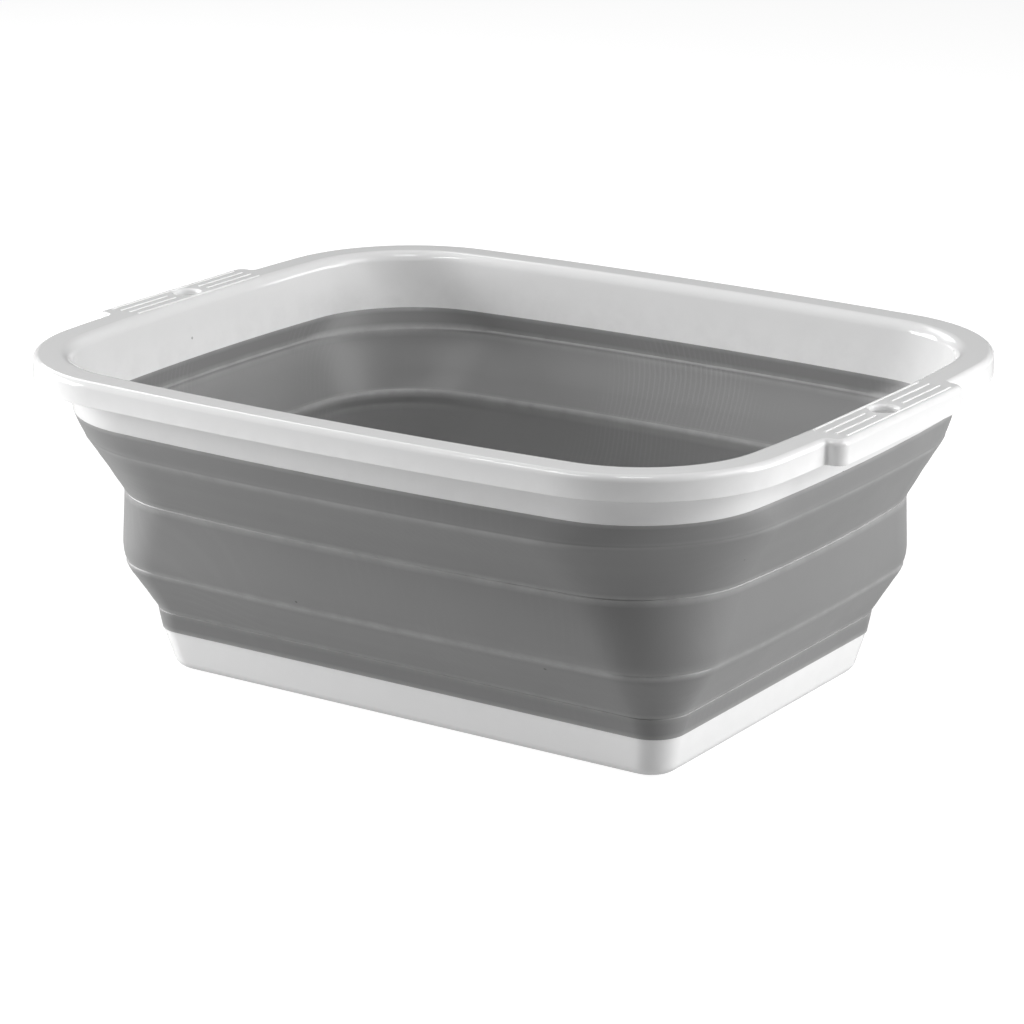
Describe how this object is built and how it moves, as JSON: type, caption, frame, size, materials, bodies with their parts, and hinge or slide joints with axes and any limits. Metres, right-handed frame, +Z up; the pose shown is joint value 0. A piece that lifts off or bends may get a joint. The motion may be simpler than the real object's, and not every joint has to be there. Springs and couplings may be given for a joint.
{
  "type": "collapsible pet bathtub",
  "caption": "Fold-flat rectangular pet bathtub: rigid white rim with end grips and hang holes, folding grey rubber wall, white tray base.",
  "frame": {"origin": "on the floor under the middle of the tub", "axes": "+X along the long side towards grip_right, +Y across, +Z up"},
  "size_m": [0.414, 0.3306, 0.1592],
  "materials": {
    "rim_white": "gloss moulded polypropylene",
    "base_white": "gloss moulded polypropylene",
    "wall_grey": "matte thermoplastic rubber"
  },
  "bodies": {
    "base": {"base_tray": "base_white", "lower_cuff": "wall_grey", "lower_fold": "wall_grey"},
    "middle": {"middle_band": "wall_grey", "upper_fold": "wall_grey"},
    "rim": {"rim_flange": "rim_white", "rim_skirt": "rim_white", "rim_collar": "rim_white", "grip_right": "rim_white", "grip_left": "rim_white", "upper_cuff": "wall_grey"}
  },
  "joints": [
    {"name": "lower_fold_slide", "type": "slide", "parent": "base", "child": "middle", "axis": [0, 0, 1], "range_m": [-0.053, 0], "deforming": ["lower_fold"]},
    {"name": "upper_fold_slide", "type": "slide", "parent": "middle", "child": "rim", "axis": [0, 0, 1], "range_m": [-0.057, 0], "deforming": ["upper_fold"]}
  ]
}
